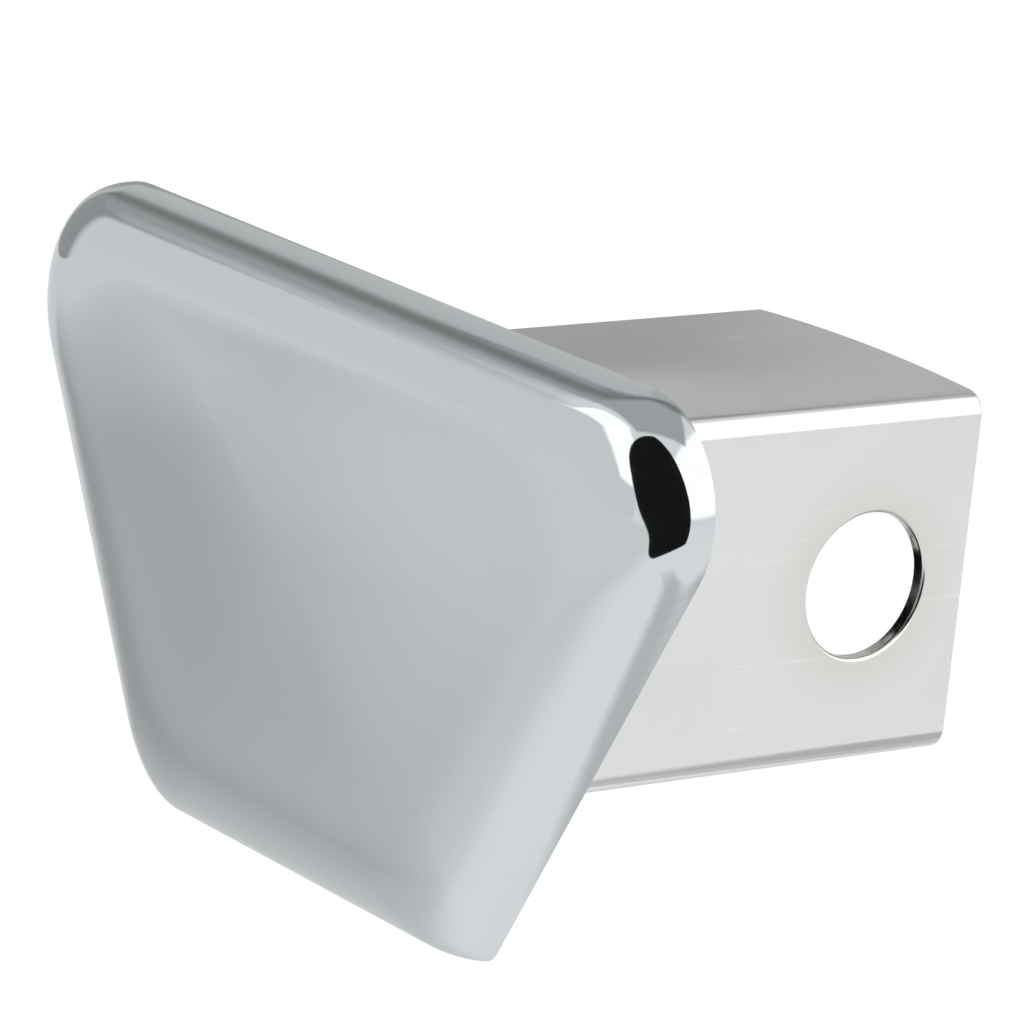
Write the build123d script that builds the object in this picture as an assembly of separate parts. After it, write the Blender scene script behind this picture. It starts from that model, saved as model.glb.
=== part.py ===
from build123d import *
import os
from math import atan2, cos, pi, sin, tan

# A cover that plugs a small square tow-bar receiver: a stamped face pan on an open square tube.
# Sizes are in millimetres. The origin is the middle of the pin bore, +Z is up and the face looks to -Y.

# The pin that holds the cover in a receiver, and the room it has in its bore
pin_diameter = 12.7
pin_clearance = 0.05
pin_to_rear = 11.0
pin_to_rim = 41.4

# The square tube, bent from sheet, whose top wall bulges a little
tube_size = 31.75
tube_wall = 1.4
tube_bend = 2.0
tube_crown = 0.6
bore_edge = 0.3

# The face pan: its outline at the open rim, measured at the sharp corners
sheet = 1.5
rim_top_width = 100.6
rim_bottom_width = 44.7
rim_top = 25.27
rim_bottom = 26.33
rim_top_radius = 9.2
rim_bottom_radius = 2.3

# The pan's depth, its corners at the flat face, and how far the rolled edge draws in on its way there
pan_depth = 7.0
face_top_radius = 8.5
face_bottom_radius = 11.0
top_roll = 4.8
bottom_roll = 7.0
inside_bend = 0.4
roll_steps = 6
inside_bands = 4

# The four weld beads that hold the tube's front end on the inside of the pan
weld_leg = 2.5
weld_bulge = 0.3
weld_length = 16.0
weld_end_round = 0.8

face_plane = -pin_to_rim - pan_depth
tube_front = face_plane + sheet
tube_half = tube_size / 2
bore_radius = pin_diameter / 2 + pin_clearance
side_lean = atan2((rim_top_width - rim_bottom_width) / 2, rim_top + rim_bottom)


def upright(y):
    """An upright plane at y that looks to the front, with X to the right and Z up."""
    return Plane(origin=(0, y, 0), x_dir=(1, 0, 0), z_dir=(0, -1, 0))


def half_width(height, inset):
    """Half the pan's width at a height, on a side wall moved in by an inset."""
    return rim_bottom_width / 2 + (height + rim_bottom) * tan(side_lean) - inset / cos(side_lean)


def pan_section(turn, skin):
    """The pan's outline where its rolled edge has turned by an angle, from the rim's wall to the flat face."""
    drawn_in = 1 - cos(turn)
    behind_face = skin + (pan_depth - skin) * (1 - sin(turn))
    to_face = 1 - behind_face / pan_depth
    top_inset = skin + (top_roll - skin) * drawn_in
    bottom_inset = skin + (bottom_roll - skin) * drawn_in
    top_radius = rim_top_radius + (face_top_radius - rim_top_radius) * to_face - skin
    bottom_radius = rim_bottom_radius + (face_bottom_radius - rim_bottom_radius) * to_face - skin
    top = rim_top - top_inset
    bottom = bottom_inset - rim_bottom
    top_half = half_width(top, top_inset)
    bottom_half = half_width(bottom, bottom_inset)
    corners = [(-bottom_half, bottom), (bottom_half, bottom), (top_half, top), (-top_half, top)]
    radii = [max(radius, inside_bend) for radius in (bottom_radius, bottom_radius, top_radius, top_radius)]
    outline = FilletPolyline(*corners, radius=radii, close=True)
    return upright(face_plane + behind_face) * make_face(outline)


def pan_body(skin, steps, banded=False):
    """A solid from the open rim to the flat face, whose edge is rolled smoothly or in flat bands."""
    turns = [pi / 2 * step / steps for step in range(steps + 1)]
    return loft([pan_section(turn, skin) for turn in turns], ruled=banded)


def make_face_shell():
    """The stamped pan: flat face, rolled edge, side walls and an open back."""
    return pan_body(0, roll_steps) - pan_body(sheet, inside_bands, banded=True)


def tube_outline():
    """The tube's outside: three flat walls, a bulging top wall and four bends."""
    corners = [(-tube_half, tube_half), (-tube_half, -tube_half), (tube_half, -tube_half), (tube_half, tube_half)]
    walls = Polyline(*corners)
    crown = ThreePointArc((tube_half, tube_half), (0, tube_half + tube_crown), (-tube_half, tube_half))
    square = make_face(walls + crown)
    return fillet(square.vertices(), tube_bend)


def tube_prism(outline):
    """A tube outline drawn out from the rear end to the inside of the face."""
    return extrude(upright(pin_to_rear) * outline, amount=pin_to_rear - tube_front)


def make_shank_tube():
    """The open tube with the pin bore through both side walls, its outer edges drawn in by the punch."""
    outline = tube_outline()
    tube = tube_prism(outline) - tube_prism(offset(outline, -tube_wall))
    tube -= Rot(0, 90, 0) * Cylinder(bore_radius, 2 * tube_size)
    mouths = [edge for edge in tube.edges().filter_by(GeomType.CIRCLE)
              if abs(abs(edge.center().X) - tube_half) < tube_wall / 2 and edge.length > bore_radius]
    return chamfer(mouths, bore_edge)


def weld_bead(seat):
    """One fillet bead in the corner between the face and the tube wall above the axis, at height seat."""
    root = seat - tube_wall / 2
    middle = weld_leg / 2 + weld_bulge
    legs = Polyline((tube_front + weld_leg, seat), (tube_front + weld_leg, root), (tube_front, root),
                    (tube_front, seat + weld_leg))
    cap = ThreePointArc((tube_front, seat + weld_leg), (tube_front + middle, seat + middle),
                        (tube_front + weld_leg, seat))
    bead = extrude(Plane.YZ * make_face(legs + cap), amount=weld_length / 2, both=True)
    ends = bead.edges().filter_by(GeomType.CIRCLE)
    return chamfer(ends, weld_end_round)


def make_weld_beads():
    """Four beads, one along the middle of each tube wall, lying on the wall's outside."""
    tube = tube_prism(tube_outline())
    beads = []
    for turn, seat in ((0, tube_half + tube_crown), (90, tube_half), (180, tube_half), (270, tube_half)):
        beads += (Rot(0, turn, 0) * weld_bead(seat) - tube).solids()
    return Compound(beads)


os.makedirs("parts", exist_ok=True)
export_step(make_face_shell(), "parts/face_shell.step")
export_step(make_shank_tube(), "parts/shank_tube.step")
export_step(make_weld_beads(), "parts/weld_beads.step")
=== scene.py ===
"""A chromed receiver cover: a drawn pan for a face, welded to a short square tube with a pin bore."""

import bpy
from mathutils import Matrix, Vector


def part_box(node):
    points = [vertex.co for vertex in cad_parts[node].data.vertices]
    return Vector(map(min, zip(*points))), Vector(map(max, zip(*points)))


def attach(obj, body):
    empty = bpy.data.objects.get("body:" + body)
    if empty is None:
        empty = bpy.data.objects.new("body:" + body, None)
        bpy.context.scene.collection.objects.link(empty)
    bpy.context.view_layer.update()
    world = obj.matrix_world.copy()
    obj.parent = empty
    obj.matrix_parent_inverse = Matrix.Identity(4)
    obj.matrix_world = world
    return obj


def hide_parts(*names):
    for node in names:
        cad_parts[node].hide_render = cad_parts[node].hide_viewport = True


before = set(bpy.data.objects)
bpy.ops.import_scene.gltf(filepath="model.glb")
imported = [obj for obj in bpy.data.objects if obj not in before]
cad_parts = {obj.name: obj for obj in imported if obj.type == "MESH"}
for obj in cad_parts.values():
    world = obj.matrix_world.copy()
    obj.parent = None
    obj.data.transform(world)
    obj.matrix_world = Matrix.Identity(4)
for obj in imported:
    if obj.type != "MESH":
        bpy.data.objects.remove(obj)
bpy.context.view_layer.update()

import math

import bmesh
import bpy
from mathutils import Matrix, Vector

MM = 0.001
BODY = "root"

# The frame gives the places: the boxes of the pan, the tube and the weld beads.
pan_low, pan_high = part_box("face_shell")
tube_low, tube_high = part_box("shank_tube")
weld_low, weld_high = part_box("weld_beads")

# The drawn pan. Widths are across the sharp corners, before they are rounded.
SHEET = 1.5 * MM
RIM_TOP_WIDTH = 100.6 * MM
RIM_BOTTOM_WIDTH = 44.7 * MM
RIM_TOP_RADIUS = 9.2 * MM
RIM_BOTTOM_RADIUS = 2.3 * MM
FACE_TOP_RADIUS = 8.5 * MM
FACE_BOTTOM_RADIUS = 11.0 * MM
TOP_ROLL = 7.0 * MM
BOTTOM_ROLL = 11.0 * MM
ROLL_FADE = 3.5
FACE_CROWN = 0.25 * MM
RIM_EDGE = 0.22 * MM
RIM_LAND = 0.3 * MM
PAN_SEAM = 0.001 * MM
RIM_TOP, RIM_BOTTOM = pan_high.z, pan_low.z
RIM_PLANE, PAN_DEPTH = pan_high.y, pan_high.y - pan_low.y
SIDE_SLOPE = (RIM_TOP_WIDTH - RIM_BOTTOM_WIDTH) / 2 / (RIM_TOP - RIM_BOTTOM)

# The tube. Its top wall is crowned a little, so its box is taller than it is wide.
TUBE_HALF = tube_high.x
TUBE_FRONT, TUBE_REAR = tube_low.y, tube_high.y
TUBE_WALL = 1.4 * MM
TUBE_BEND = 2.0 * MM
TUBE_CROWN = tube_high.z - TUBE_HALF
CUT_EDGE = 0.25 * MM
BORE_RADIUS = 6.4 * MM
BORE_ROLL_IN = 0.35 * MM
BORE_BURR = 0.2 * MM
BORE_HAZE = 5.5 * MM
TUBE_SEAM = 0.0005 * MM

# How finely the tube's mesh is cut: along it, up and across its walls, round its bends, cut edge and bore.
LENGTH_STEPS = 44
HEIGHT_STEPS = 24
BEND_STEPS = 8
WALL_STEPS = 16
LIP_STEPS = 4
BORE_STEPS = 5
BORE_RINGS = 14
BORE_RING_GROWTH = 1.6

# The weld runs, one in the middle of each of the tube's sides.
WELD_LEG = weld_high.y - weld_low.y
WELD_LENGTH = 16.0 * MM
WELD_RIPPLE = 1.15 * MM
WELD_RIPPLE_DEPTH = 0.11
WELD_RIPPLE_BOW = 1.1
WELD_FLATTENING = 0.3
WELD_END_SHARPNESS = 6.0
WELD_TOE_ANGLE = math.radians(55)
WELD_TIP = 0.002 * MM
WELD_SINK = 0.15 * MM

# The height of the fine relief in every plated finish.
RELIEF = 0.1 * MM

# The photograph's camera, round the pin bore's middle, with its angles in degrees.
IMAGE_SIZE = 1024
SENSOR = 36.0
CAMERA_AZIMUTH = 51.424
CAMERA_ELEVATION = 15.062
CAMERA_ROLL = 5.86
CAMERA_DISTANCE = 535.722 * MM
PIXELS_PER_MM = 11.564
BORE_PIXEL = (747.83, 535.742)

# The studio. Tones are shares of white.
FLOOR_HEIGHT = -120.0 * MM
FLOOR_SIZE = 8.0
FLOOR_GLOW = 0.82
SOFTBOX_TONE = 1.65
FLAG_TONE = 0.012
KEY_SIZE = 0.8
KEY_POWER = 9.0
KEY_DISTANCE = 1.2

# What the chrome sees of the studio: outlines in degrees of azimuth and elevation, and for the ceiling's
# dark edge the half width too.
LENS_FLAG = [(-1, 33), (8, 61), (36, 71), (71, 58), (88, 20), (93, -15), (82, -36), (55, -32), (39, -26),
             (30, -10), (8, 7)]
FRONT_SOFTBOX = [(-68, 37), (-27, 36), (-16, 24), (-8, 9), (6, 10), (6, 46), (-12, 60), (-58, 55), (-68, 50)]
CEILING_EDGE = [(-103, 14, 3), (-103, 24, 4), (-105, 36, 12), (-109, 43, 14), (-118, 46, 11), (-130, 47, 7),
                (-142, 49, 9), (-154, 51, 10), (-168, 56, 4)]


class Tree:
    """A node tree that is filled node by node, in either geometry or shader nodes."""

    def __init__(self, tree):
        self.tree = tree

    def add(self, kind, inputs=None, **settings):
        """A new node with its settings made and its inputs set, or linked where the value is a socket."""
        node = self.tree.nodes.new(kind)
        for name, value in settings.items():
            setattr(node, name, value)
        for key, value in (inputs or {}).items():
            socket = node.inputs[key] if isinstance(key, int) else next(
                s for s in node.inputs if s.name == key and s.enabled)
            if isinstance(value, bpy.types.NodeSocket):
                self.tree.links.new(value, socket)
            else:
                socket.default_value = value
        return node

    def math(self, operation, *values, clamp=False):
        """The result of a sum on numbers or sockets."""
        node = self.add("ShaderNodeMath", dict(enumerate(values)), operation=operation, use_clamp=clamp)
        return node.outputs[0]

    def whole(self, operation, *values):
        """The result of a sum on whole numbers."""
        return self.add("FunctionNodeIntegerMath", dict(enumerate(values)), operation=operation).outputs[0]

    def vector(self, operation, *values):
        """The result of a sum on vectors."""
        inputs = dict(enumerate(values))
        if operation == "SCALE":
            inputs = {"Vector": values[0], "Scale": values[1]}
        return self.add("ShaderNodeVectorMath", inputs, operation=operation).outputs[0]

    def remap(self, value, low, high, to_low, to_high, smooth=False):
        """A value moved from one range to another, and held at its ends."""
        inputs = {"Value": value, "From Min": low, "From Max": high, "To Min": to_low, "To Max": to_high}
        kind = "SMOOTHSTEP" if smooth else "LINEAR"
        return self.add("ShaderNodeMapRange", inputs, interpolation_type=kind).outputs[0]


def group_sockets(tree, inputs, outputs):
    """Named inputs and outputs of a node group, and the node that hands the inputs in."""
    for name, kind in inputs:
        tree.interface.new_socket(name, in_out="INPUT", socket_type="NodeSocket" + kind)
    for name, kind in outputs:
        tree.interface.new_socket(name, in_out="OUTPUT", socket_type="NodeSocket" + kind)
    return tree.nodes.new("NodeGroupInput").outputs


def grown_mesh(name, tree, values, modifiers=()):
    """The plain mesh that a geometry tree gives for these input values, with these modifiers applied."""
    seed = bpy.data.objects.new(name + "_seed", bpy.data.meshes.new(name + "_seed"))
    bpy.context.scene.collection.objects.link(seed)
    grow = seed.modifiers.new("grow", "NODES")
    grow.node_group = tree
    for item in tree.interface.items_tree:
        if item.in_out == "INPUT" and item.name in values:
            grow[item.identifier] = values[item.name]
    for kind, settings in modifiers:
        modifier = seed.modifiers.new(kind.lower(), kind)
        for key, value in settings.items():
            setattr(modifier, key, value)
    ready = seed.evaluated_get(bpy.context.evaluated_depsgraph_get())
    mesh = bpy.data.meshes.new_from_object(ready)
    mesh.name = name
    seed.modifiers.clear()
    bpy.data.objects.remove(seed)
    return mesh


def dress(mesh, *finishes):
    """Gives a mesh these finishes as its slots, in this order."""
    mesh.materials.clear()
    for finish in finishes:
        mesh.materials.append(finish)


def piece(name, mesh, node):
    """A finished piece at the origin that rides on the body and stands for a CAD node."""
    made = bpy.data.objects.new(name, mesh)
    bpy.context.scene.collection.objects.link(made)
    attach(made, BODY)
    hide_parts(node)
    return made


# Finishes.

def plating_bloom_group():
    """Soft cloudy change in a plated finish, and the fine waviness of its surface."""
    tree = bpy.data.node_groups.new("plating_bloom", "ShaderNodeTree")
    given = group_sockets(
        tree, [("Vector", "Vector"), ("Cloud Scale", "Float"), ("Peel Scale", "Float")],
        [("Cloud", "Float"), ("Peel", "Float")])
    t = Tree(tree)
    cloud = t.add("ShaderNodeTexNoise", {
        "Vector": given["Vector"], "Scale": given["Cloud Scale"], "Detail": 3.0, "Roughness": 0.55})
    peel = t.add("ShaderNodeTexNoise", {
        "Vector": given["Vector"], "Scale": given["Peel Scale"], "Detail": 2.0, "Roughness": 0.5})
    t.add("NodeGroupOutput", {
        "Cloud": t.remap(cloud.outputs["Fac"], 0.3, 0.7, 0.0, 1.0), "Peel": peel.outputs["Fac"]})
    return tree


def draw_lines_group():
    """Fine lines along Y that drawing and handling leave, in broken patches."""
    tree = bpy.data.node_groups.new("draw_lines", "ShaderNodeTree")
    given = group_sockets(
        tree, [("Vector", "Vector"), ("Across Scale", "Float"), ("Along Scale", "Float"), ("Cover", "Float")],
        [("Lines", "Float"), ("Grain", "Float")])
    t = Tree(tree)
    stretch = t.add("ShaderNodeCombineXYZ", {
        "X": given["Across Scale"], "Y": given["Along Scale"], "Z": given["Across Scale"]}).outputs[0]
    drawn = t.vector("MULTIPLY", given["Vector"], stretch)
    grain = t.add("ShaderNodeTexNoise", {"Vector": drawn, "Scale": 1.0, "Detail": 2.0, "Roughness": 0.6})
    patch = t.add("ShaderNodeTexNoise", {"Vector": given["Vector"], "Scale": 130.0, "Detail": 1.0})
    scratch = t.remap(grain.outputs["Fac"], 0.64, 0.70, 0.0, 1.0)
    shown = t.remap(t.math("ADD", patch.outputs["Fac"], given["Cover"]), 0.9, 1.1, 0.0, 1.0)
    t.add("NodeGroupOutput", {"Lines": t.math("MULTIPLY", scratch, shown), "Grain": grain.outputs["Fac"]})
    return tree


PLATING_BLOOM = plating_bloom_group()
DRAW_LINES = draw_lines_group()


def new_finish(name):
    """An empty material, its tree, its Principled shader and the object coordinates."""
    made = bpy.data.materials.new(name)
    made.use_nodes = True
    t = Tree(made.node_tree)
    shader = made.node_tree.nodes["Principled BSDF"]
    place = t.add("ShaderNodeTexCoord").outputs["Object"]
    return made, t, shader, place


def place_group(t, group, inputs):
    """A node group in a material, with its named inputs set or linked."""
    node = t.tree.nodes.new("ShaderNodeGroup")
    node.node_tree = group
    for key, value in inputs.items():
        if isinstance(value, bpy.types.NodeSocket):
            t.tree.links.new(value, node.inputs[key])
        else:
            node.inputs[key].default_value = value
    return node.outputs


def colour_between(t, factor, low, high):
    """A mix of two colours, each of them a triple or a socket."""
    node = t.add("ShaderNodeMix", {"Factor": factor}, data_type="RGBA")
    for socket, value in zip([s for s in node.inputs if s.enabled and s.type == "RGBA"], (low, high)):
        if isinstance(value, bpy.types.NodeSocket):
            t.tree.links.new(value, socket)
        else:
            socket.default_value = (*value, 1.0)
    return next(s for s in node.outputs if s.enabled)


def plate(t, shader, tint, roughness, relief, strength):
    """Makes a shader plated metal of this tint and roughness, with a fine relief."""
    shader.inputs["Metallic"].default_value = 1.0
    t.tree.links.new(tint, shader.inputs["Base Color"])
    t.tree.links.new(roughness, shader.inputs["Roughness"])
    bump = t.add("ShaderNodeBump", {"Strength": strength, "Distance": RELIEF, "Height": relief})
    t.tree.links.new(bump.outputs[0], shader.inputs["Normal"])


def show_chrome():
    """Mirror chrome of the pan's outside."""
    made, t, shader, place = new_finish("show_chrome")
    bloom = place_group(t, PLATING_BLOOM, {"Vector": place, "Cloud Scale": 55.0, "Peel Scale": 420.0})
    tint = colour_between(t, bloom["Cloud"], (0.590, 0.628, 0.644), (0.606, 0.642, 0.656))
    roughness = t.remap(bloom["Cloud"], 0.0, 1.0, 0.035, 0.065)
    plate(t, shader, tint, roughness, bloom["Peel"], strength=0.03)
    return made


def inside_chrome():
    """Thin unpolished plating inside the pan, with the marks of drawing."""
    made, t, shader, place = new_finish("inside_chrome")
    bloom = place_group(t, PLATING_BLOOM, {"Vector": place, "Cloud Scale": 90.0, "Peel Scale": 700.0})
    lines = place_group(t, DRAW_LINES, {
        "Vector": place, "Across Scale": 900.0, "Along Scale": 60.0, "Cover": 0.45})
    tint = colour_between(t, bloom["Cloud"], (0.50, 0.51, 0.51), (0.60, 0.61, 0.61))
    roughness = t.remap(bloom["Cloud"], 0.0, 1.0, 0.22, 0.34)
    roughness = t.math("ADD", roughness, t.math("MULTIPLY", lines["Lines"], 0.08))
    plate(t, shader, tint, roughness, bloom["Peel"], strength=0.12)
    return made


def tube_chrome():
    """Satin plating of the tube, with short scratches along it and a faint warm haze round the bore."""
    made, t, shader, place = new_finish("tube_chrome")
    bloom = place_group(t, PLATING_BLOOM, {"Vector": place, "Cloud Scale": 70.0, "Peel Scale": 520.0})
    lines = place_group(t, DRAW_LINES, {
        "Vector": place, "Across Scale": 1500.0, "Along Scale": 70.0, "Cover": 0.42})
    split = t.add("ShaderNodeSeparateXYZ", {"Vector": place})
    from_axis = t.math("SQRT", t.math("ADD", t.math("POWER", split.outputs["Y"], 2.0),
                                      t.math("POWER", split.outputs["Z"], 2.0)))
    haze = t.remap(from_axis, BORE_RADIUS, BORE_RADIUS + BORE_HAZE, 1.0, 0.0, smooth=True)
    haze = t.math("MULTIPLY", haze, t.remap(bloom["Cloud"], 0.0, 1.0, 0.3, 1.0))
    plain = colour_between(t, bloom["Cloud"], (0.665, 0.672, 0.672), (0.70, 0.705, 0.70))
    warm = colour_between(t, t.math("MULTIPLY", haze, 0.6), plain, (0.62, 0.585, 0.54))
    scratched = colour_between(t, t.math("MULTIPLY", lines["Lines"], 0.5), warm, (0.84, 0.85, 0.85))
    roughness = t.remap(bloom["Cloud"], 0.0, 1.0, 0.10, 0.16)
    roughness = t.math("ADD", roughness, t.math("MULTIPLY", haze, 0.08))
    roughness = t.math("ADD", roughness, t.math("MULTIPLY", lines["Lines"], 0.18))
    plate(t, shader, scratched, roughness, lines["Grain"], strength=0.05)
    return made


def bead_metal():
    """Plated weld bead, cloudy from bright to dull and darker."""
    made, t, shader, place = new_finish("bead_metal")
    bloom = place_group(t, PLATING_BLOOM, {"Vector": place, "Cloud Scale": 260.0, "Peel Scale": 1500.0})
    tint = colour_between(t, bloom["Cloud"], (0.36, 0.345, 0.33), (0.58, 0.575, 0.57))
    roughness = t.remap(bloom["Cloud"], 0.0, 1.0, 0.46, 0.26)
    plate(t, shader, tint, roughness, bloom["Peel"], strength=0.3)
    return made


# The drawn pan.

def half_width(height, inset):
    """Half of the pan's width at a height, on an outline that lies this far inside the rim's."""
    lean = math.atan(SIDE_SLOPE)
    return RIM_BOTTOM_WIDTH / 2 + (height - RIM_BOTTOM) * SIDE_SLOPE - inset / math.cos(lean)


def drawn_pan_tree():
    """Geometry nodes that draw the pan: rim and face outlines joined by a rolled edge, and a crowned face."""
    tree = bpy.data.node_groups.new("drawn_pan", "GeometryNodeTree")
    sizes = ["Rim Bottom Width", "Rim Top Width", "Rim Height", "Rim Middle",
             "Face Bottom Width", "Face Top Width", "Face Height", "Face Middle",
             "Rim Top Radius", "Rim Bottom Radius", "Face Top Radius", "Face Bottom Radius",
             "Rim Plane", "Depth", "Crown", "Roll Fade"]
    counts = ["Corner Steps", "Straight Steps", "Roll Steps", "Face Steps"]
    given = group_sockets(
        tree, [(name, "Float") for name in sizes] + [(name, "Int") for name in counts]
        + [("Finish", "Material")], [("Geometry", "Geometry")])
    t = Tree(tree)
    index = t.add("GeometryNodeInputIndex").outputs[0]
    position = t.add("GeometryNodeInputPosition").outputs[0]

    def outline(shape, corners):
        """A rounded trapezoid with the same count of points in each corner and along each side."""
        sharp = t.add("GeometryNodeCurvePrimitiveQuadrilateral", {
            "Bottom Width": given[shape + " Bottom Width"], "Top Width": given[shape + " Top Width"],
            "Height": given[shape + " Height"], "Offset": 0.0}, mode="TRAPEZOID")
        height = t.add("ShaderNodeSeparateXYZ", {"Vector": position}).outputs["Y"]
        upper = t.add("FunctionNodeCompare", {"A": height, "B": 0.0},
                      data_type="FLOAT", operation="GREATER_THAN")
        radius = t.add("GeometryNodeSwitch", {
            "Switch": upper.outputs[0], "False": given[corners + " Bottom Radius"],
            "True": given[corners + " Top Radius"]}, input_type="FLOAT")
        rounded = t.add("GeometryNodeFilletCurve", {
            "Curve": sharp.outputs[0], "Count": given["Corner Steps"],
            "Radius": radius.outputs[0]}, mode="POLY")
        along = t.whole("MODULO", index, t.whole("ADD", given["Corner Steps"], 1))
        leaves_corner = t.add("FunctionNodeCompare", {"A": along, "B": given["Corner Steps"]},
                              data_type="INT", operation="EQUAL")
        cuts = t.add("GeometryNodeSwitch", {
            "Switch": leaves_corner.outputs[0], "False": 0,
            "True": given["Straight Steps"]}, input_type="INT")
        spread = t.add("GeometryNodeSubdivideCurve", {"Curve": rounded.outputs[0], "Cuts": cuts.outputs[0]})
        lift = t.add("ShaderNodeCombineXYZ", {"Y": given[shape + " Middle"]}).outputs[0]
        return t.add("GeometryNodeTransform", {"Geometry": spread.outputs[0], "Translation": lift}).outputs[0]

    rim = outline("Rim", "Rim")
    rim_with_face_corners = outline("Rim", "Face")
    face = outline("Face", "Face")
    rim_size = t.add("GeometryNodeAttributeDomainSize", {"Geometry": rim}, component="CURVE")
    around = rim_size.outputs["Point Count"]
    rings = t.whole("ADD", t.whole("ADD", given["Roll Steps"], given["Face Steps"]), 1)
    sheet = t.add("GeometryNodeMeshGrid", {"Vertices X": t.whole("ADD", around, 1), "Vertices Y": rings})
    column = t.whole("MODULO", t.whole("DIVIDE_FLOOR", index, rings), around)
    ring = t.whole("MODULO", index, rings)

    def on_outline(curve):
        """The place of the grid's column on an outline."""
        return t.add("GeometryNodeSampleIndex", {"Geometry": curve, "Value": position, "Index": column},
                     data_type="FLOAT_VECTOR", domain="POINT").outputs[0]

    at_rim, at_softened, at_face = on_outline(rim), on_outline(rim_with_face_corners), on_outline(face)
    turn = t.math("MULTIPLY", t.math("DIVIDE", ring, given["Roll Steps"], clamp=True), math.pi / 2)
    to_face = t.math("SINE", turn)
    still_upright = t.math("MAXIMUM", t.math("COSINE", turn), 0.0)
    left_to_draw = t.math("POWER", still_upright, t.math("DIVIDE", 2.0, given["Roll Fade"]))
    drawn_in = t.math("SUBTRACT", 1.0, left_to_draw)
    past_roll = t.math("SUBTRACT", ring, given["Roll Steps"])
    to_middle = t.math("DIVIDE", past_roll, given["Face Steps"], clamp=True)
    outer = t.math("SUBTRACT", 1.0, to_middle)

    softened = t.vector("SCALE", t.vector("SUBTRACT", at_softened, at_rim), to_face)
    moved_in = t.vector("SCALE", t.vector("SUBTRACT", at_face, at_softened), drawn_in)
    rolled = t.vector("ADD", t.vector("ADD", at_rim, softened), moved_in)
    middle = t.add("ShaderNodeCombineXYZ", {"Y": given["Face Middle"]}).outputs[0]
    flat = t.vector("ADD", middle, t.vector("SCALE", t.vector("SUBTRACT", rolled, middle), outer))
    flat = t.add("ShaderNodeSeparateXYZ", {"Vector": flat})
    rise = t.math("POWER", t.math("SUBTRACT", 1.0, t.math("POWER", outer, 2.0)), 2.0)
    crowned = t.math("MULTIPLY", given["Crown"], rise)
    forward = t.math("ADD", t.math("MULTIPLY", given["Depth"], to_face), crowned)
    placed = t.add("ShaderNodeCombineXYZ", {
        "X": flat.outputs["X"], "Y": t.math("SUBTRACT", given["Rim Plane"], forward), "Z": flat.outputs["Y"]})
    pan = t.add("GeometryNodeSetPosition", {"Geometry": sheet.outputs["Mesh"], "Position": placed.outputs[0]})
    pan = t.add("GeometryNodeMergeByDistance", {"Geometry": pan.outputs[0], "Distance": PAN_SEAM})
    pan = t.add("GeometryNodeSetShadeSmooth", {"Geometry": pan.outputs[0]})
    pan = t.add("GeometryNodeRealizeInstances", {"Geometry": pan.outputs[0]})
    pan = t.add("GeometryNodeSetMaterial", {"Geometry": pan.outputs[0], "Material": given["Finish"]})
    t.add("NodeGroupOutput", {"Geometry": pan.outputs[0]})
    return tree


def make_pan(outside, inside):
    """The pan with its wall and rim, polished outside and plain inside."""
    face_top, face_bottom = RIM_TOP - TOP_ROLL, RIM_BOTTOM + BOTTOM_ROLL
    values = {
        "Rim Bottom Width": RIM_BOTTOM_WIDTH, "Rim Top Width": RIM_TOP_WIDTH,
        "Rim Height": RIM_TOP - RIM_BOTTOM, "Rim Middle": (RIM_TOP + RIM_BOTTOM) / 2,
        "Face Bottom Width": 2 * half_width(face_bottom, BOTTOM_ROLL),
        "Face Top Width": 2 * half_width(face_top, TOP_ROLL),
        "Face Height": face_top - face_bottom, "Face Middle": (face_top + face_bottom) / 2,
        "Rim Top Radius": RIM_TOP_RADIUS, "Rim Bottom Radius": RIM_BOTTOM_RADIUS,
        "Face Top Radius": FACE_TOP_RADIUS, "Face Bottom Radius": FACE_BOTTOM_RADIUS,
        "Rim Plane": RIM_PLANE, "Depth": PAN_DEPTH, "Crown": FACE_CROWN, "Roll Fade": ROLL_FADE,
        "Corner Steps": 20, "Straight Steps": 24, "Roll Steps": 40, "Face Steps": 20, "Finish": outside}
    wall = {"thickness": SHEET, "offset": -1.0, "use_even_offset": True, "use_rim": True}
    edge = {"width": RIM_EDGE, "segments": 3, "limit_method": "ANGLE", "angle_limit": math.radians(50),
            "harden_normals": True}
    mesh = grown_mesh("drawn_pan", drawn_pan_tree(), values, [("SOLIDIFY", wall), ("BEVEL", edge)])
    dress(mesh, outside, inside)
    for polygon in mesh.polygons:
        polygon.material_index = int(inside_the_pan(polygon))
    return piece("drawn_pan", mesh, "face_shell")


def inside_the_pan(polygon):
    """True for a face of the pan's inner wall, which looks back or towards the middle."""
    middle = Vector((0.0, RIM_PLANE, (RIM_TOP + RIM_BOTTOM) / 2))
    behind_rim = polygon.center.y < RIM_PLANE - RIM_LAND
    return behind_rim and polygon.normal.dot(middle - polygon.center) > 0


# The square tube.

def arc(centre, radius, start, end, steps):
    """Points on an arc in X and Z, both ends among them; angles are in radians from +X."""
    return [(centre[0] + radius * math.cos(angle), centre[1] + radius * math.sin(angle))
            for angle in spaced(start, end, steps)]


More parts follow.
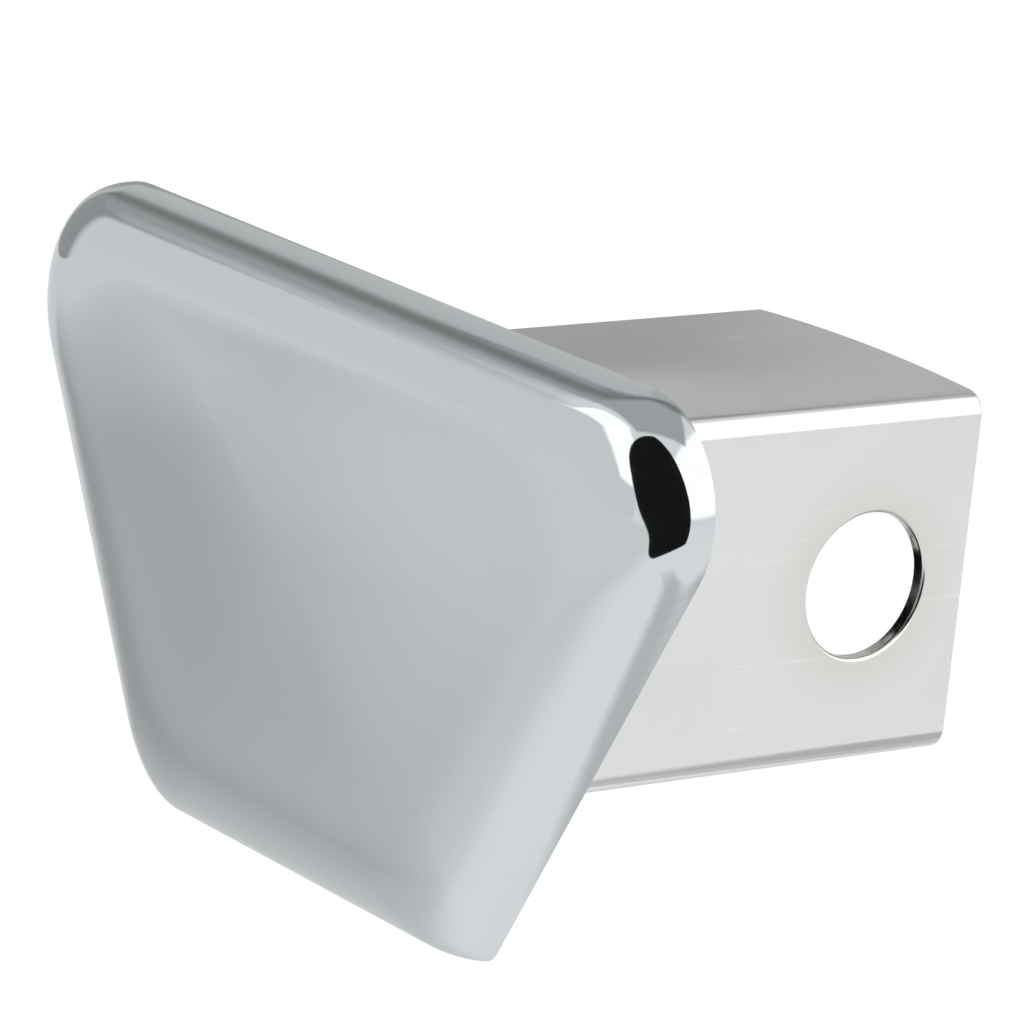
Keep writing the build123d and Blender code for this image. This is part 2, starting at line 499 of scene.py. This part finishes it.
def top_run(skin):
    """The tube's section over its crowned top, from right to left, at this depth under its outside."""
    crown_radius = (TUBE_HALF ** 2 + TUBE_CROWN ** 2) / (2 * TUBE_CROWN)
    crown_middle = TUBE_HALF + TUBE_CROWN - crown_radius
    out = TUBE_HALF - TUBE_BEND
    lean = math.asin(out / (crown_radius - TUBE_BEND))
    up = crown_middle + (crown_radius - TUBE_BEND) * math.cos(lean)
    right_end, left_end = math.pi / 2 - lean, math.pi / 2 + lean
    right = arc((out, up), TUBE_BEND - skin, 0.0, right_end, BEND_STEPS)
    over = arc((0.0, crown_middle), crown_radius - skin, right_end, left_end, WALL_STEPS)
    left = arc((-out, up), TUBE_BEND - skin, left_end, math.pi, BEND_STEPS)
    return right + over[1:-1] + left


def bottom_run(skin):
    """The tube's section under its flat bottom, from left to right, at this depth under its outside."""
    out = TUBE_HALF - TUBE_BEND
    left = arc((-out, -out), TUBE_BEND - skin, math.pi, 1.5 * math.pi, BEND_STEPS)
    right = arc((out, -out), TUBE_BEND - skin, 1.5 * math.pi, 2.0 * math.pi, BEND_STEPS)
    low = skin - TUBE_HALF
    under = [(x, low) for x in spaced(-out, out, WALL_STEPS)[1:-1]]
    return left + under + right


def spaced(start, end, steps):
    """Even steps from start to end, both among them."""
    return [start + (end - start) * k / steps for k in range(steps + 1)]


class Quads:
    """Rows of points that become one mesh of quads."""

    def __init__(self):
        self.mesh = bmesh.new()

    def rows(self, rows):
        """Quads between each row of points and the next."""
        made = [[self.mesh.verts.new(p) for p in row] for row in rows]
        for near, far in zip(made, made[1:]):
            for k in range(len(near) - 1):
                self.mesh.faces.new((near[k], near[k + 1], far[k + 1], far[k]))

    def closed(self, name):
        """The finished mesh: seams merged, faces outwards, smooth."""
        bmesh.ops.remove_doubles(self.mesh, verts=self.mesh.verts, dist=TUBE_SEAM)
        bmesh.ops.recalc_face_normals(self.mesh, faces=self.mesh.faces)
        mesh = bpy.data.meshes.new(name)
        self.mesh.to_mesh(mesh)
        self.mesh.free()
        mesh.shade_smooth()
        return mesh


def lip_stations():
    """(depth under the outside, Y) round the cut rear edge, from the outer wall to the inner."""
    quarter = spaced(0.0, math.pi / 2, LIP_STEPS)
    flat = TUBE_REAR - CUT_EDGE
    outer = [(CUT_EDGE * (1 - math.cos(a)), flat + CUT_EDGE * math.sin(a)) for a in quarter]
    inner = [(TUBE_WALL - skin, y) for skin, y in reversed(outer)]
    return outer + inner


def bored_wall(quads, side, lengths, heights):
    """A side wall of the tube with its pin bore: rings that spread from the bore to the wall's four edges."""
    loop = ([(y, heights[0]) for y in lengths[:-1]] + [(lengths[-1], z) for z in heights[:-1]]
            + [(y, heights[-1]) for y in lengths[:0:-1]] + [(lengths[0], z) for z in heights[:0:-1]])
    loop.append(loop[0])

    def ring(radius, skin, spread=0.0):
        """Points round the bore at a depth, spread by a share of the way out to the wall's edges."""
        points = []
        for y, z in loop:
            reach = math.hypot(y, z)
            scale = radius / reach + (1 - radius / reach) * spread
            points.append((side * (TUBE_HALF - skin), y * scale, z * scale))
        return points

    quarter = spaced(0.0, math.pi / 2, BORE_STEPS)
    spreads = [share ** BORE_RING_GROWTH for share in spaced(0.0, 1.0, BORE_RINGS)]
    outer = [ring(BORE_RADIUS + BORE_ROLL_IN, 0.0, s) for s in reversed(spreads)]
    rolled = [ring(BORE_RADIUS + BORE_ROLL_IN * (1 - math.sin(a)), BORE_ROLL_IN * (1 - math.cos(a)))
              for a in quarter[1:]]
    burr = [ring(BORE_RADIUS + BORE_BURR * (1 - math.cos(a)), TUBE_WALL - BORE_BURR * (1 - math.sin(a)))
            for a in quarter]
    inner = [ring(BORE_RADIUS + BORE_BURR, TUBE_WALL, s) for s in spreads[1:]]
    quads.rows(outer + rolled + burr + inner)


def make_tube(finish):
    """The tube from its section's runs and two bored walls, with normals that keep its walls flat."""
    quads = Quads()
    lengths = spaced(TUBE_FRONT, TUBE_REAR - CUT_EDGE, LENGTH_STEPS)
    heights = spaced(bottom_run(0.0)[-1][1], top_run(0.0)[0][1], HEIGHT_STEPS)
    lip = lip_stations()
    around = [(0.0, y) for y in lengths] + lip + [(TUBE_WALL, y) for y in reversed(lengths)]
    around.append(around[0])
    for run in (top_run, bottom_run):
        quads.rows([[(x, y, z) for x, z in run(skin)] for skin, y in around])
    for side in (1, -1):
        bored_wall(quads, side, lengths, heights)
        for edge in (lip, [(0.0, TUBE_FRONT), (TUBE_WALL, TUBE_FRONT)]):
            quads.rows([[(side * (TUBE_HALF - skin), y, z) for z in heights] for skin, y in edge])
    mesh = quads.closed("shank")
    mesh.materials.append(finish)
    made = bpy.data.objects.new("shank_seed", mesh)
    bpy.context.scene.collection.objects.link(made)
    weighted = made.modifiers.new("weighted", "WEIGHTED_NORMAL")
    weighted.keep_sharp = True
    ready = made.evaluated_get(bpy.context.evaluated_depsgraph_get())
    smooth = bpy.data.meshes.new_from_object(ready)
    bpy.data.objects.remove(made)
    return piece("shank", smooth, "shank_tube")


# The welds.

def weld_run_tree():
    """Geometry nodes that lay a rippled fillet along a straight run, once on each side of the tube."""
    tree = bpy.data.node_groups.new("weld_run", "GeometryNodeTree")
    sizes = ["Length", "Leg", "Ripple", "Half", "Crown", "Front", "Sink"]
    given = group_sockets(tree, [(name, "Float") for name in sizes] + [("Finish", "Material")],
                          [("Geometry", "Geometry")])
    t = Tree(tree)
    position = t.add("GeometryNodeInputPosition").outputs[0]
    half_length = t.math("MULTIPLY", given["Length"], 0.5)
    start = t.add("ShaderNodeCombineXYZ", {"X": t.math("MULTIPLY", half_length, -1.0)}).outputs[0]
    end = t.add("ShaderNodeCombineXYZ", {"X": half_length}).outputs[0]
    path = t.add("GeometryNodeCurvePrimitiveLine", {"Start": start, "End": end})
    path = t.add("GeometryNodeResampleCurve", {"Curve": path.outputs[0], "Count": 140})
    section = t.add("GeometryNodeCurveArc", {
        "Resolution": 18, "Radius": 1.0, "Start Angle": 0.0, "Sweep Angle": math.pi / 2,
        "Connect Center": True})
    bead = t.add("GeometryNodeCurveToMesh", {
        "Curve": path.outputs[0], "Profile Curve": section.outputs[0], "Fill Caps": True})
    split = t.add("ShaderNodeSeparateXYZ", {"Vector": position})
    along = split.outputs["X"]
    across, proud = t.math("ABSOLUTE", split.outputs["Y"]), t.math("ABSOLUTE", split.outputs["Z"])
    mid_face = t.math("MULTIPLY", across, proud)
    near_end = t.math("DIVIDE", t.math("ABSOLUTE", along), half_length)
    worn_away = t.math("POWER", near_end, WELD_END_SHARPNESS)
    taper = t.math("SQRT", t.math("SUBTRACT", 1.0, worn_away, clamp=True))
    bow = t.math("MULTIPLY", mid_face, WELD_RIPPLE_BOW)
    phase = t.math("FRACT", t.math("ADD", t.math("DIVIDE", along, given["Ripple"]), bow))
    rise = t.math("MULTIPLY", t.math("SQRT", phase), WELD_RIPPLE_DEPTH)
    ripple = t.math("ADD", 1.0 - WELD_RIPPLE_DEPTH, rise)
    wander = t.add("ShaderNodeTexNoise", {"Vector": position, "Scale": 420.0, "Detail": 1.0})
    swell = t.math("MULTIPLY", t.math("MULTIPLY", ripple, taper),
                   t.remap(wander.outputs["Fac"], 0.3, 0.7, 0.92, 1.0))
    flatter = t.math("SUBTRACT", 1.0, t.math("MULTIPLY", mid_face, WELD_FLATTENING))
    size = t.math("MULTIPLY", t.math("MULTIPLY", given["Leg"], flatter), swell)
    moved = t.add("ShaderNodeCombineXYZ", {
        "X": along, "Y": t.math("MULTIPLY", across, size), "Z": t.math("MULTIPLY", proud, size)})
    bead = t.add("GeometryNodeSetPosition", {"Geometry": bead.outputs[0], "Position": moved.outputs[0]})
    bead = t.add("GeometryNodeMergeByDistance", {"Geometry": bead.outputs[0], "Distance": WELD_TIP})
    bead = t.add("GeometryNodeSetShadeSmooth", {"Geometry": bead.outputs[0]})
    fold = t.add("GeometryNodeInputMeshEdgeAngle").outputs["Unsigned Angle"]
    toe = t.math("GREATER_THAN", fold, WELD_TOE_ANGLE)
    bead = t.add("GeometryNodeSetShadeSmooth", {
        "Geometry": bead.outputs[0], "Selection": toe, "Shade Smooth": False}, domain="EDGE")
    joined = t.add("GeometryNodeJoinGeometry")
    for quarter in range(4):
        lift = t.math("ADD", given["Half"], given["Crown"]) if quarter == 0 else given["Half"]
        seat = t.math("SUBTRACT", lift, given["Sink"])
        out = t.add("ShaderNodeCombineXYZ", {"Y": given["Front"], "Z": seat})
        seated = t.add("GeometryNodeTransform", {"Geometry": bead.outputs[0], "Translation": out.outputs[0]})
        turned = t.add("GeometryNodeTransform", {"Geometry": seated.outputs[0]})
        turned.inputs["Rotation"].default_value = (0.0, quarter * math.pi / 2, 0.0)
        tree.links.new(turned.outputs[0], joined.inputs[0])
    whole = t.add("GeometryNodeRealizeInstances", {"Geometry": joined.outputs[0]})
    whole = t.add("GeometryNodeSetMaterial", {"Geometry": whole.outputs[0], "Material": given["Finish"]})
    t.add("NodeGroupOutput", {"Geometry": whole.outputs[0]})
    return tree


def make_welds(finish):
    """The four weld runs as one piece."""
    values = {"Length": WELD_LENGTH, "Leg": WELD_LEG, "Ripple": WELD_RIPPLE, "Half": TUBE_HALF,
              "Crown": TUBE_CROWN, "Front": TUBE_FRONT, "Sink": WELD_SINK, "Finish": finish}
    mesh = grown_mesh("weld_runs", weld_run_tree(), values)
    dress(mesh, finish)
    return piece("weld_runs", mesh, "weld_beads")


# The studio: a white floor and sky, and cards that only the chrome sees.

def from_bore(azimuth, elevation):
    """The unit vector at this azimuth, from the front towards +X, and elevation, in degrees."""
    a, e = math.radians(azimuth), math.radians(elevation)
    return Vector((math.sin(a) * math.cos(e), -math.cos(a) * math.cos(e), math.sin(e)))


def white_sky():
    """Plain white surroundings."""
    world = bpy.data.worlds.new("white_sky")
    bpy.context.scene.world = world
    world.use_nodes = True
    world.node_tree.nodes["Background"].inputs["Color"].default_value = (1.0, 1.0, 1.0, 1.0)
    world.node_tree.nodes["Background"].inputs["Strength"].default_value = 1.0


def pale_floor():
    """A wide white floor: mostly its own white where it is seen, with the object's shadow in the rest."""
    mesh = bpy.data.meshes.new("pale_floor")
    corners = rectangle(FLOOR_SIZE / 2, FLOOR_SIZE / 2)
    mesh.from_pydata([(x, y, FLOOR_HEIGHT) for x, y in corners], [], [(0, 1, 2, 3)])
    floor = bpy.data.objects.new("pale_floor", mesh)
    bpy.context.scene.collection.objects.link(floor)
    made, t, shader = new_finish("pale_floor")[:3]
    shader.inputs["Base Color"].default_value = (0.94, 0.94, 0.94, 1.0)
    shader.inputs["Roughness"].default_value = 0.9
    path = t.add("ShaderNodeLightPath").outputs
    seen = t.math("MAXIMUM", path["Is Glossy Ray"], path["Is Transmission Ray"])
    seen = t.math("MAXIMUM", path["Is Camera Ray"], seen)
    white = t.add("ShaderNodeEmission", {"Color": (1.0, 1.0, 1.0, 1.0), "Strength": 1.0})
    both = t.add("ShaderNodeMixShader", {
        0: t.math("MULTIPLY", seen, FLOOR_GLOW), 1: shader.outputs[0], 2: white.outputs[0]})
    t.tree.links.new(both.outputs[0], made.node_tree.nodes["Material Output"].inputs["Surface"])
    mesh.materials.append(made)


def card_finish(name, tone):
    """A glow of one tone, as strong as the card's own glow values, and clear where they are zero."""
    made = bpy.data.materials.new(name)
    made.use_nodes = True
    made.node_tree.nodes.clear()
    t = Tree(made.node_tree)
    strength = t.add("ShaderNodeAttribute", attribute_name="glow").outputs["Fac"]
    glow = t.add("ShaderNodeEmission", {"Color": (1.0, 1.0, 1.0, 1.0), "Strength": tone})
    clear = t.add("ShaderNodeBsdfTransparent")
    mixed = t.add("ShaderNodeMixShader", {
        0: t.remap(strength, 0.0, 1.0, 0.0, 1.0, smooth=True), 1: clear.outputs[0], 2: glow.outputs[0]})
    t.add("ShaderNodeOutputMaterial", {"Surface": mixed.outputs[0]})
    return made


def hang(name, points, faces, glow, tone):
    """A card of these points and faces, with a glow value at each point, that only the chrome sees."""
    mesh = bpy.data.meshes.new(name)
    mesh.from_pydata(points, [], faces)
    mesh.attributes.new("glow", "FLOAT", "POINT").data.foreach_set("value", glow)
    mesh.materials.append(card_finish(name, tone))
    shown = bpy.data.objects.new(name, mesh)
    bpy.context.scene.collection.objects.link(shown)
    shown.visible_camera = shown.visible_diffuse = shown.visible_shadow = False


def flat_card(name, outer, inner, tone, place):
    """A flat card that glows fully inside its inner outline and fades out towards the outer one."""
    count = len(outer)
    points = [place @ Vector((x, y, 0.0)) for x, y in outer + inner]
    border = [(k, (k + 1) % count, (k + 1) % count + count, k + count) for k in range(count)]
    hang(name, points, border + [range(count, 2 * count)], [0.0] * count + [1.0] * count, tone)


def rectangle(half_across, half_up):
    """The corners of a rectangle round the origin."""
    return [(sx * half_across, sy * half_up) for sx, sy in ((-1, -1), (1, -1), (1, 1), (-1, 1))]


def inset(outline, fade):
    """An outline moved inwards by the fade, whichever way round it runs."""
    corners = [Vector(corner) for corner in outline]
    before, after = corners[-1:] + corners[:-1], corners[1:] + corners[:1]
    turns_left = sum(a.x * b.y - a.y * b.x for a, b in zip(corners, after)) > 0
    moved = []
    for last, here, following in zip(before, corners, after):
        sides = [(here - last).normalized(), (following - here).normalized()]
        inwards = [Vector((-side.y, side.x)) * (1 if turns_left else -1) for side in sides]
        corner = here + (inwards[0] + inwards[1]) * fade / (1 + inwards[0].dot(inwards[1]))
        moved.append((corner.x, corner.y))
    return moved


def facing_bore(azimuth, elevation, distance):
    """The place of a card square to the bore, in degrees and metres."""
    towards = from_bore(azimuth, elevation)
    return Matrix.Translation(towards * distance) @ (-towards).to_track_quat("Z", "Y").to_matrix().to_4x4()


def standing_card(name, azimuth, elevation, spread, fades, tone, distance=1.0):
    """A card that fills this spread of degrees, across and up, and fades out over its last few."""
    half_across, half_up = (distance * math.tan(math.radians(angle) / 2) for angle in spread)
    fade_across, fade_up = (distance * math.radians(angle) for angle in fades)
    outer = rectangle(half_across, half_up)
    inner = rectangle(half_across - fade_across, half_up - fade_up)
    flat_card(name, outer, inner, tone, facing_bore(azimuth, elevation, distance))


def level_card(name, azimuth, reach, width, fades, tone, height):
    """A level card at a height over the bore, from one reach to another along an azimuth."""
    half_across, half_along = width / 2, (reach[1] - reach[0]) / 2
    centre = from_bore(azimuth, 0.0) * sum(reach) / 2 + Vector((0.0, 0.0, height))
    place = Matrix.Translation(centre) @ Matrix.Rotation(math.radians(azimuth + 180.0), 4, "Z")
    inner = rectangle(half_across - fades[0], half_along - fades[1])
    flat_card(name, rectangle(half_across, half_along), inner, tone, place)


def floor_card(name, azimuth, reach, width, fades, tone, layer):
    """A card that lies just over the floor; a higher layer covers a lower one."""
    level_card(name, azimuth, reach, width, fades, tone, FLOOR_HEIGHT + layer * MM)


def bent_through(outline, steps=6):
    """A closed outline that bends smoothly through these points, with a few steps from each to the next."""
    count = len(outline)
    bent = []
    for k in range(count):
        before, here, following, after = (Vector(outline[(k + j) % count]) for j in (-1, 0, 1, 2))
        leave, arrive = (following - before) / 2, (after - here) / 2
        for u in spaced(0.0, 1.0, steps)[:-1]:
            eased = u * u * (3 - 2 * u)
            onward = here + (following - here) * eased
            bent.append(onward + leave * u * (1 - u) ** 2 - arrive * u * u * (1 - u))
    return bent


def cut_card(name, outline, fade, tone, distance, seen_from=Vector()):
    """A card cut to an outline of (azimuth, elevation) corners, as seen from a point near the bore."""
    middle = [sum(values) / len(outline) for values in zip(*outline)]
    place, towards = facing_bore(*middle, distance), from_bore(*middle)
    outer = []
    for azimuth, elevation in outline:
        ray = from_bore(azimuth, elevation)
        corner = place.inverted() @ (ray * (distance / ray.dot(towards)))
        outer.append((corner.x, corner.y))
    inner = inset(outer, distance * math.radians(fade))
    flat_card(name, outer, inner, tone, Matrix.Translation(seen_from) @ place)


def bowed_strip(name, route, tone, distance, steps=6):
    """A soft strip through (azimuth, elevation, half width) stations, which fades out at both ends."""
    stations = [[a + (b - a) * k / steps for a, b in zip(here, following)]
                for here, following in zip(route, route[1:]) for k in range(steps)] + [route[-1]]
    rays = [from_bore(*station[:2]) for station in stations]
    points, glow = [], []
    for k, (ray, station) in enumerate(zip(rays, stations)):
        along = rays[min(k + 1, len(rays) - 1)] - rays[max(k - 1, 0)]
        aside = ray.cross(along).normalized() * math.tan(math.radians(station[2]))
        points += [(ray - aside) * distance, ray * distance, (ray + aside) * distance]
        glow += [0.0, min(k, len(rays) - 1 - k, steps) / steps, 0.0]
    faces = [(3 * k + j, 3 * k + j + 1, 3 * k + j + 4, 3 * k + j + 3)
             for k in range(len(rays) - 1) for j in (0, 1)]
    hang(name, points, faces, glow, tone)


def light_the_studio():
    """White surroundings, the cards that the chrome sees, and one soft lamp from above."""
    white_sky()
    pale_floor()
    standing_card("front_wall", azimuth=-48.0, elevation=8.0, spread=(112.0, 70.0), fades=(6.0, 6.0),
                  tone=0.87, distance=1.3)
    standing_card("left_wall", azimuth=-118.0, elevation=20.0, spread=(60.0, 60.0), fades=(9.0, 9.0),
                  tone=0.64, distance=1.2)
    standing_card("left_column", azimuth=-87.0, elevation=11.0, spread=(40.0, 52.0), fades=(8.0, 5.0),
                  tone=0.40, distance=1.05)
    standing_card("left_soffit", azimuth=-92.0, elevation=35.0, spread=(50.0, 20.0), fades=(24.0, 6.5),
                  tone=0.46)
    standing_card("rear_left_wall", azimuth=-152.0, elevation=20.0, spread=(80.0, 70.0), fades=(9.0, 9.0),
                  tone=0.57, distance=1.15)
    standing_card("right_softbox", azimuth=121.0, elevation=31.0, spread=(82.0, 68.0), fades=(8.0, 8.0),
                  tone=SOFTBOX_TONE)
    standing_card("tube_flag", azimuth=-116.0, elevation=10.0, spread=(40.0, 26.0), fades=(11.0, 4.0),
                  tone=0.42, distance=0.22)
    cut_card("front_softbox", FRONT_SOFTBOX, fade=4.0, tone=SOFTBOX_TONE, distance=1.0)
    level_card("ceiling", azimuth=-120.0, reach=(-0.27, 0.85), width=0.88, fades=(0.07, 0.07), tone=0.52,
               height=0.8)
    bowed_strip("ceiling_edge", CEILING_EDGE, tone=0.27, distance=0.95)
    floor_card("front_floor", azimuth=-35.0, reach=(0.02, 1.9), width=2.6, fades=(0.25, 0.20), tone=0.89,
               layer=1.0)
    floor_card("front_left_floor", azimuth=-92.0, reach=(-0.05, 1.7), width=0.8, fades=(0.15, 0.15),
               tone=0.85, layer=2.0)
    floor_card("near_left_floor", azimuth=-84.0, reach=(0.0, 0.34), width=0.33, fades=(0.07, 0.07),
               tone=0.77, layer=3.0)
    floor_card("left_sheet", azimuth=-60.0, reach=(0.03, 0.71), width=0.32, fades=(0.15, 0.31), tone=0.48,
               layer=4.0)
    # Painted shadow: rear_shade and tube_shade are grey sheets laid where the object's own shadow falls on
    # the floor, seen only in the chrome.
    floor_card("rear_shade", azimuth=136.0, reach=(0.049, 0.094), width=0.37, fades=(0.11, 0.018),
               tone=0.69, layer=1.0)
    floor_card("tube_shade", azimuth=142.0, reach=(0.06, 0.26), width=0.14, fades=(0.05, 0.05), tone=0.60,
               layer=2.0)
    top_right_corner = Vector((pan_high.x - RIM_TOP_RADIUS, RIM_PLANE, RIM_TOP - RIM_TOP_RADIUS))
    cut_card("lens_flag", bent_through(LENS_FLAG), fade=0.5, tone=FLAG_TONE, distance=0.2,
             seen_from=top_right_corner)
    lamp = bpy.data.lights.new("key_softbox", "AREA")
    lamp.shape = "RECTANGLE"
    lamp.size = lamp.size_y = KEY_SIZE
    lamp.energy = KEY_POWER
    key = bpy.data.objects.new("key_softbox", lamp)
    key.location = from_bore(azimuth=-20.0, elevation=62.0) * KEY_DISTANCE
    key.rotation_euler = key.location.to_track_quat("Z", "Y").to_euler()
    key.visible_glossy = False
    bpy.context.scene.collection.objects.link(key)


def place_camera():
    """The camera at the photograph's stand, rolled and shifted so that the bore falls on its pixel."""
    back = from_bore(CAMERA_AZIMUTH, CAMERA_ELEVATION)
    level = from_bore(CAMERA_AZIMUTH + 90.0, 0.0)
    upright = back.cross(level)
    roll = math.radians(CAMERA_ROLL)
    right = math.cos(roll) * level + math.sin(roll) * upright
    up = -math.sin(roll) * level + math.cos(roll) * upright
    per_pixel = MM / PIXELS_PER_MM
    aside = (BORE_PIXEL[0] - IMAGE_SIZE / 2) * per_pixel
    below = (BORE_PIXEL[1] - IMAGE_SIZE / 2) * per_pixel
    stand = back * CAMERA_DISTANCE - right * aside + up * below
    data = bpy.data.cameras.new("photo_camera")
    data.sensor_width = SENSOR
    data.lens = SENSOR * CAMERA_DISTANCE / (IMAGE_SIZE * per_pixel)
    data.clip_start, data.clip_end = 0.01, 50.0
    camera = bpy.data.objects.new("photo_camera", data)
    camera.matrix_world = Matrix.Translation(stand) @ Matrix((right, up, back)).transposed().to_4x4()
    bpy.context.scene.collection.objects.link(camera)
    bpy.context.scene.camera = camera


make_pan(show_chrome(), inside_chrome())
make_tube(tube_chrome())
make_welds(bead_metal())
light_the_studio()
place_camera()
bpy.context.scene.view_settings.view_transform = "Standard"
